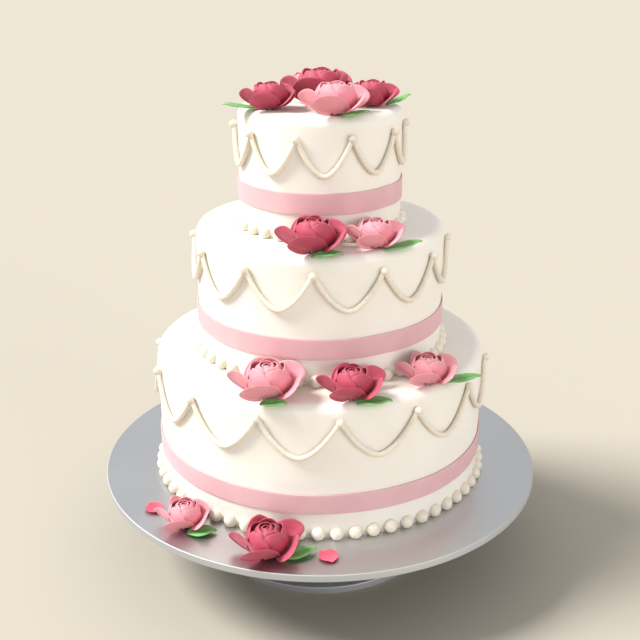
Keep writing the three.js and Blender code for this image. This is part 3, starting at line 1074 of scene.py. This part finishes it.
@dataclass
class Rose:
    """A sugar rose: five open petals round a bud of cupped petals.

    x, y and ledge say where it stands, and size scales all its measures, which are for size 1. petal_fan
    is half the angle of an open petal's fan, and petal_start the share of its length that is hidden in the
    foot. The rooms are what its open petals leave to the wall, to the pearls and to the middle line
    between two roses. The trial grid is the coarse one on which that is tested.
    """

    name: str
    on: str
    x: float
    y: float
    size: float
    finish: Finish
    ledge: float
    foot_radius: float = 10.5
    foot_height: float = 2.0
    bud_radius: float = 14.6
    bud_grid: tuple[int, int] = (23, 17)
    petal_length: float = 24.8
    petal_fan: float = 78.0
    petal_start: float = 0.12
    petal_grid: tuple[int, int] = (33, 21)
    trial_grid: tuple[int, int] = (9, 6)
    petals: tuple[OpenPetal, ...] = (
        OpenPetal(-90.0, 16.0, 10.2, 26.0, 49.0),
        OpenPetal(-20.0, 17.2, 9.4, 30.0, 36.0),
        OpenPetal(65.0, 17.4, 10.8, 38.0, 20.0, 30.5),
        OpenPetal(136.0, 19.0, 9.8, 28.0, 44.0),
        OpenPetal(-156.0, 17.2, 11.2, 36.0, 54.0),
    )
    bulge: float = 6.6
    cup: float = 2.6
    roll: float = 1.5
    thickness: float = 1.15
    wall_room: float = 1.9
    pearl_room: float = 0.5
    rose_room: float = 0.5
    rings: tuple[BudRing, ...] = (
        BudRing(5, -114, 50, 1.0, 11.0, 24.4, 5.0),
        BudRing(4, -70, 62, 0.84, 5.6, 24.5, 2.2),
        BudRing(3, -20, 76, 0.6, 2.4, 24.4, 1.6),
    )

    def placed(
        self, azimuth: np.ndarray | float, line: np.ndarray, aside: np.ndarray | float
    ) -> np.ndarray:
        """Turns a petal's own measures into places round the rose's middle, still at size 1.

        Args:
            azimuth: the petal's azimuth.
            line: (..., 2) distance out and height.
            aside: distance to the petal's side.

        Returns:
            (..., 3) places.
        """
        out = polar(azimuth, line[..., 0], line[..., 1])
        return out + polar(np.asarray(azimuth) + 90, 1.0, 0.0) * np.asarray(aside)[..., None]

    def on_cake(self, places: np.ndarray) -> np.ndarray:
        """Scales places round the rose's middle and puts them where the rose stands."""
        return places * self.size + (self.x, self.y, self.ledge)

    def round_bud(self, places: np.ndarray) -> np.ndarray:
        """Pushes places out of the bud.

        Each distance r from the axis becomes (r + b + sqrt((r - b)^2 + 1)) / 2, where b is the bud's own
        distance at that height: a maximum of the two with its corner rounded off.

        Args:
            places: (..., 3) places at size 1.

        Returns:
            (..., 3) places outside the bud.
        """
        line, _ = bezier(self.rings[0].line(self.bud_radius), np.linspace(0, 1, 40))
        reach = np.linalg.norm(places[..., :2], axis=-1)
        bud = np.interp(places[..., 2], line[:, 1], line[:, 0]) + 0.3
        pushed = (reach + bud + np.sqrt((reach - bud) ** 2 + 1.0)) / 2
        out = places.copy()
        out[..., :2] *= (pushed / np.maximum(reach, 0.1))[..., None]
        return out

    def open_face(self, petal: OpenPetal, u: np.ndarray, v: np.ndarray) -> np.ndarray:
        """Works out the upper face of an open petal.

        The flat petal is an ellipse drawn as a fan from its foot: at an angle t from the middle its rim is
        2 b cos t a^2 / (a^2 cos^2 t + b^2 sin^2 t) away, for half-axes a across and b along. Its middle is
        bent to a curve from the foot over a bulge to the tip, which leans outwards. It faces past the
        direction in which it stands, so that one side stands off and the other goes in behind the next
        petal. Its sides are cupped inwards with the square of their distance, and its rim rolls back.

        Args:
            petal: how the petal stands.
            u: (rows, columns) places from side to side, from -1 to 1.
            v: (rows, columns) places from foot to rim, up to 1.

        Returns:
            (rows, columns, 3) places on the cake.
        """
        a, b = petal.width / 2, self.petal_length / 2
        lean, twist = math.radians(petal.lean), math.radians(petal.twist)
        angle = np.radians(self.petal_fan) * u
        rim = 2 * b * np.cos(angle) * a**2 / (a**2 * np.cos(angle) ** 2 + b**2 * np.sin(angle) ** 2)
        rim = rim * (1 + 0.02 * np.sin(6 * u + petal.azimuth) + 0.015 * np.sin(11 * u + 2 * petal.azimuth))
        across = v * rim * np.sin(angle)
        share = np.clip(v * rim * np.cos(angle) / self.petal_length, 0, 1)
        half = 0.43 * self.petal_length
        foot = np.array([self.foot_radius - 4, self.foot_height])
        tip = np.array([
            petal.distance * math.cos(twist) + half * math.sin(lean), petal.height + half * math.cos(lean)
        ])
        chord = unit(tip - foot)
        bulge = (foot + tip) / 2 + np.array([chord[1], -chord[0]]) * self.bulge
        line, along = bezier([tuple(foot), tuple(bulge), tuple(tip)], share)
        inward = np.stack([-along[..., 1], along[..., 0]], -1)
        cupped = self.cup * (across / a) ** 2 * np.sin(np.pi * (0.1 + 0.8 * share))
        rolled = self.roll * ramp(v, 0.7, 1) ** 2 * (1 + 0.4 * np.sin(4 * u + petal.azimuth))
        wavy = 0.4 * v**3 * np.sin(7 * u + 1.3 * petal.azimuth)
        line = line + inward * (cupped - rolled + wavy)[..., None]
        aside = across - 1.12 * petal.distance * math.sin(twist) * (1 - (1 - share) ** 2.2)
        places = self.placed(petal.azimuth + petal.twist, line, aside)
        places[..., 2] = np.maximum(places[..., 2], 0.4 + 0.5 * v)
        return self.on_cake(self.round_bud(places))

    def is_clear(self, points: np.ndarray, bakery: "Bakery") -> bool:
        """Tests whether places are clear of the wall, the pearls and the neighbouring roses.

        Args:
            points: (..., 3) places.
            bakery: the whole cake.

        Returns:
            True if all are clear.
        """
        flat = points.reshape(-1, 3)
        wall = bakery.tier_above(self.on)
        if wall is not None:
            if (np.linalg.norm(flat[:, :2], axis=1) < wall.radius + self.wall_room).any():
                return False
            low = flat[flat[:, 2] - self.ledge < wall.pearls.diameter + self.pearl_room]
            pearls = wall.pearl_places(bakery.roses)
            if len(low) and len(pearls):
                away = np.linalg.norm(low[:, None, :2] - pearls[None, :, :2], axis=2)
                if (away < wall.pearls.diameter / 2 + self.pearl_room).any():
                    return False
        for other in bakery.roses:
            if other is self or other.on != self.on:
                continue
            across = np.array([other.x - self.x, other.y - self.y])
            share = np.linalg.norm(across) * self.size / (self.size + other.size) - self.rose_room
            if ((flat[:, :2] - (self.x, self.y)) @ unit(across) > share).any():
                return False
        return True

    def settled(self, petal: OpenPetal, bakery: "Bakery") -> OpenPetal:
        """Closes a petal until it is clear of everything else.

        Args:
            petal: how the petal stands where it has room.
            bakery: the whole cake.

        Returns:
            The petal eased to the largest tenth from 1 down to 0 at which it is clear, or to 0.
        """
        for openness in np.arange(1.0, 0.0, -0.1):
            eased = petal.eased(openness)
            if self.is_clear(self.open_face(eased, *grid(*self.trial_grid, self.petal_start)), bakery):
                return eased
        return petal.eased(0.0)

    def bud_petal(self, ring: BudRing, number: int) -> Surface:
        """Shapes one cupped petal of the bud.

        Its upright line is a cubic curve from the foot over the bulge to the lip. Across, it follows a
        circle round the axis, narrower at the foot and the lip, and it stands further out at one side than
        at the other, so that it overlaps the next petal. Its lip dips towards the sides and rolls back.

        Args:
            ring: the ring that it is in.
            number: which petal of the ring.

        Returns:
            The petal's closed surface.
        """
        u, v = grid(*self.bud_grid)
        line, _ = bezier(ring.line(self.bud_radius), v)
        height = line[..., 1] * (1 - ring.dip / ring.height * np.abs(u) ** 2.4 * v**2)
        radius = line[..., 0] + 1.5 * u * (0.4 + 0.6 * ring.scale) * (1 - 0.5 * v**4)
        radius = radius + 1.2 * ramp(v, 0.84, 1) ** 2 * ring.scale
        half = ring.half_span * np.sin(np.pi * (0.25 + 0.42 * v)) ** 0.7
        azimuth = ring.azimuth + 360 / ring.count * number + u * half
        face = self.on_cake(self.placed(azimuth, np.stack([radius, height], -1), 0.0))
        thickness = self.size * self.thickness * (0.9 - 0.35 * ramp(v, 0.7, 1))
        return thick(face, thickness, pattern_of(u, v), 0.35 + 0.3 * ((number * 3) % 5) / 4)

    def heart(self) -> Surface:
        """Rolls the middle of the bud: a sheet wound one and a half turns into a cone.

        Returns:
            The closed surface.
        """
        u, v = grid(49, 13)
        wound = (u + 1) / 2
        radius = (1.0 + 3.0 * wound) * (1.15 - 0.35 * v**2) + 0.8 * ramp(v, 0.85, 1) ** 2
        height = 6 + (17.2 - 2.2 * (1 - wound) ** 2 - 1.2 * np.sin(9 * wound) ** 2) * v
        face = self.on_cake(self.placed(540 * wound, np.stack([radius, height], -1), 0.0))
        return thick(face, np.full(u.shape, 0.7 * self.size), pattern_of(u, v), 0.25)

    def build(self, bakery: "Bakery") -> None:
        """Adds the rose as one piece.

        Args:
            bakery: the whole cake, whose walls, pearls and roses the open petals keep clear of.
        """
        parts = [self.bud_petal(ring, k) for ring in self.rings for k in range(ring.count)]
        parts.append(self.heart())
        u, v = grid(*self.petal_grid, self.petal_start)
        thickness = self.size * self.thickness * (1 - 0.4 * ramp(v, 0.6, 1))
        for number, petal in enumerate(self.petals):
            face = self.open_face(self.settled(petal, bakery), u, v)
            parts.append(thick(face, thickness, pattern_of(u, v), 0.4 + 0.15 * number))
        add_piece(f"flower_{self.name}", joined(parts), self.finish, f"rose_{self.name}")


@dataclass
class Leaf:
    """A pointed sugar leaf beside a rose, from a base to a tip that are measured from the rose's middle."""

    rose: Rose
    base: tuple[float, float]
    tip: tuple[float, float]
    width: float
    rise: float
    thickness: float = 1.1
    fold: float = 2.2
    lift: float = 0.02

    def build(self) -> None:
        """Adds the leaf.

        Across, its outline is half its width times sin(pi v^0.85)^0.8 at share v of its length. Its sides
        fold upwards from the middle rib, its rim waves, its tip lifts with v squared, and a shallow groove
        follows the rib and each side vein.
        """
        u, v = grid(33, 61, 0.004, 0.996)
        base = np.array(self.base)
        run = np.array(self.tip) - base
        across = unit(np.array([-run[1], run[0]]))
        half = self.width / 2 * np.sin(math.pi * v**0.85) ** 0.8
        flat = base + run * v[..., None] + across * (half * u)[..., None]
        fold = self.fold * np.abs(u) ** 1.25 * np.sin(math.pi * v)
        wave = 0.5 * u**2 * np.sin(3 * math.pi * v) + 0.18 * np.abs(u) ** 3 * np.sin(19 * v + 2 * u)
        phase = 2 * math.pi * SIDE_VEINS * (v - VEIN_SWEEP * np.abs(u))
        side_veins = 0.13 * np.clip(np.cos(phase), 0, 1) ** 3
        rib = 0.3 * np.exp(-((u / 0.07) ** 2))
        relief = (side_veins + rib) * np.sin(math.pi * v) ** 0.5 * (1 - np.abs(u) ** 4)
        rim = np.maximum(np.abs(u), np.abs(2 * v - 1)) ** 8
        thickness = self.thickness * (1 - 0.62 * rim)
        height = fold + wave + self.rise * v**2 + thickness - relief
        place = np.concatenate([flat, height[..., None]], -1) + (self.rose.x, self.rose.y, self.rose.ledge)
        surface = thick(place, thickness, pattern_of(u, v), 0.5)
        surface.points[:, 2] = np.maximum(surface.points[:, 2], self.rose.ledge + self.lift)
        add_piece(f"sprig_{self.rose.name}", surface, Finish.LEAF, f"leaf_{self.rose.name}")


@dataclass
class LoosePetal:
    """A petal that has dropped onto the plate, with its rim curled up."""

    name: str
    x: float
    y: float
    azimuth: float
    ledge: float
    length: float = 17.0
    width: float = 16.0
    cup: float = 2.4
    thickness: float = 0.9
    lift: float = 0.15

    def build(self) -> None:
        """Adds the petal.

        Its outline is half its width times sin(pi (0.13 + 0.8 s))^0.75 at share s of its length, and its
        face rises with the square of the distance from its middle.
        """
        u, v = grid(25, 25)
        share = v * (1 - 0.15 * u**2)
        half = self.width / 2 * np.sin(np.pi * (0.13 + 0.8 * share)) ** 0.75
        along = (share - 0.5) * self.length
        flat = polar(self.azimuth, along, 0.0) + polar(self.azimuth + 90, 1.0, 0.0) * (half * u)[..., None]
        rise = self.cup * (0.6 * u**2 + 0.4 * (2 * share - 1) ** 2)
        rise = rise + 0.15 * np.sin(5 * u + 4 * v) * u**2
        thickness = self.thickness * (1 - 0.5 * np.maximum(np.abs(u), np.abs(2 * v - 1)) ** 6)
        place = flat + (self.x, self.y, self.ledge + self.lift)
        place[..., 2] += rise + thickness
        surface = thick(place, thickness, pattern_of(u, v), 0.6)
        add_piece(f"fallen_{self.name}", surface, Finish.LOOSE, f"petal_{self.name}")


# The whole

@dataclass
class Bakery:
    """The whole cake on its stand, built from the bottom up."""

    stand: Stand = field(default_factory=Stand)
    tiers: list[Tier] = field(default_factory=list)
    roses: list[Rose] = field(default_factory=list)

    def __post_init__(self) -> None:
        """Stacks the tiers, and sets the roses on their ledges."""
        for name, radius, height, band, swags, pearls in (
            ("bottom", 150.0, 122.0, 23.6, Swags(14, 6.1, 13.0, 32.7), Pearls(60, 5.4, 12.0)),
            ("middle", 110.7, 112.5, 24.2, Swags(12, -2.7, 14.5, 31.2), Pearls(45, -1.8, 11.5)),
            ("top", 71.0, 103.5, 23.9, Swags(10, -15.1, 17.0, 30.2), Pearls(30, -4.0, 10.5)),
        ):
            base = self.tiers[-1].top if self.tiers else self.stand.height
            self.tiers.append(Tier(name, radius, base, height, band, swags, pearls))
        for name, on, x, y, size, finish in (
            ("top_centre", "top", 0.5, -5.0, 1.2, Finish.DEEP),
            ("top_left", "top", -41.0, -29.5, 0.88, Finish.DEEP),
            ("top_front", "top", 13.0, -54.0, 1.03, Finish.PALE),
            ("top_right", "top", 44.0, -15.0, 0.86, Finish.DEEP),
            ("top_back", "top", -12.0, 43.0, 0.8, Finish.PALE),
            ("middle_left", "middle", -5.0, -93.0, 1.08, Finish.DEEP),
            ("middle_right", "middle", 46.0, -80.5, 0.9, Finish.PALE),
            ("bottom_left", "bottom", -42.0, -128.5, 1.15, Finish.PALE),
            ("bottom_centre", "bottom", 26.5, -130.5, 1.0, Finish.DEEP),
            ("bottom_right", "bottom", 91.0, -101.0, 0.93, Finish.PALE),
            ("stand_left", "stand", -115.5, -130.0, 0.88, Finish.PALE),
            ("stand_right", "stand", -43.0, -174.0, 1.08, Finish.DEEP),
        ):
            self.roses.append(Rose(name, on, x, y, size, finish, self.ledge(on)))

    def ledge(self, on: str) -> float:
        """Returns the height of the top of a tier, or of the plate for "stand"."""
        return next((tier.top for tier in self.tiers if tier.name == on), self.stand.height)

    def tier_above(self, on: str) -> Tier | None:
        """Returns the tier that stands on a ledge, or None on the cake's top."""
        return next((tier for tier in self.tiers if tier.base == self.ledge(on)), None)

    def leaves(self) -> list[Leaf]:
        """Returns the leaves, each beside its rose."""
        by_name = {rose.name: rose for rose in self.roses}
        return [Leaf(by_name[name], *rest) for name, *rest in (
            ("top_left", (-10, -3), (-39, -7), 13, 4.5),
            ("top_front", (4.5, -16), (28, -9), 13, 3),
            ("top_right", (12, 2), (33, 11), 12, 7.5),
            ("middle_left", (-2, -18), (24, -14), 13, 1.5),
            ("middle_right", (7, -12), (38, 0), 14, 4),
            ("bottom_left", (-6.5, -18), (15.5, -20), 14, 1.5),
            ("bottom_centre", (3, -15), (32, -12), 15, 1.5),
            ("bottom_right", (12, -3), (45, 4), 15, 3),
            ("stand_left", (3, -13.5), (28, -12.5), 17, 2),
            ("stand_right", (10, -7), (40, 3), 16, 3),
        )]

    def build(self) -> None:
        """Adds every piece."""
        self.stand.build()
        for tier in self.tiers:
            tier.build(self.roses)
        for rose in self.roses:
            rose.build(self)
        for leaf in self.leaves():
            leaf.build()
        LoosePetal("left", -145.0, -105.0, 70.0, self.stand.height).build()
        LoosePetal("right", 7.3, -179.4, 20.0, self.stand.height).build()


# The studio

@dataclass(frozen=True)
class Lamp:
    """A far, soft lamp. strength is the light on a surface that faces it, in W/m^2, and width its angle."""

    name: str
    azimuth: float
    elevation: float
    strength: float
    width: float

    def build(self) -> None:
        """Adds the lamp."""
        sun = bpy.data.lights.new(self.name, "SUN")
        sun.energy = self.strength
        sun.angle = math.radians(self.width)
        holder = bpy.data.objects.new(self.name, sun)
        holder.rotation_euler = (math.radians(90 - self.elevation), 0, math.radians(self.azimuth))
        bpy.context.scene.collection.objects.link(holder)


@dataclass
class Studio:
    """A plain pale floor, soft light from the left and a camera at the photograph's angle."""

    floor_size: float = 40000.0
    floor: MattPaint = MattPaint("studio_floor", "#aea799")
    lens: float = 58.75
    camera_place: tuple[float, float, float] = (0.0, -902.55, 576.65)
    camera_pitch: float = 21.207
    camera_reach: float = 100.0
    lamps: tuple[Lamp, ...] = (
        Lamp("key", -86.0, 48.0, 5.2, 24.0),
        Lamp("fill", 45.0, 6.0, 1.4, 36.0),
    )
    sky_colour: str = "#fbfcff"
    sky_strength: float = 0.78

    def build(self) -> None:
        """Adds the floor, the lights, the sky and the camera."""
        self.lay_floor()
        for lamp in self.lamps:
            lamp.build()
        self.light_room()
        self.aim()

    def lay_floor(self) -> None:
        """Adds the floor, a square that reaches beyond every view."""
        half = self.floor_size / 2
        corners = np.array([[-half, -half, 0], [half, -half, 0], [half, half, 0], [-half, half, 0]])
        mesh = bpy.data.meshes.new("floor")
        mesh.from_pydata((corners * METRES).tolist(), [], [(0, 1, 2, 3)])
        mesh.materials.append(self.floor.material())
        floor = bpy.data.objects.new("floor", mesh)
        bpy.context.scene.collection.objects.link(floor)

    def light_room(self) -> None:
        """Adds the even light of the room."""
        world = bpy.data.worlds.new("room")
        world.use_nodes = True
        world.node_tree.nodes.clear()
        add = partial(add_node, world.node_tree)
        sky = add("Background", {"Color": self.sky_colour, "Strength": self.sky_strength})
        add("OutputWorld", {"Surface": sky})
        bpy.context.scene.world = world

    def aim(self) -> None:
        """Adds the camera, and sets how the picture turns light into colour."""
        camera = bpy.data.cameras.new("camera")
        camera.lens = self.lens
        camera.clip_end = self.camera_reach
        holder = bpy.data.objects.new("camera", camera)
        holder.location = [value * METRES for value in self.camera_place]
        holder.rotation_euler = (math.radians(90 - self.camera_pitch), 0, 0)
        bpy.context.scene.collection.objects.link(holder)
        bpy.context.scene.camera = holder
        bpy.context.scene.view_settings.view_transform = "Standard"
        bpy.context.scene.view_settings.look = "None"


def main() -> None:
    """Builds the studio and the cake, with a log line for each piece."""
    logging.basicConfig(level=logging.INFO, format="%(message)s")
    Studio().build()
    Bakery().build()


if __name__ == "__main__":
    main()
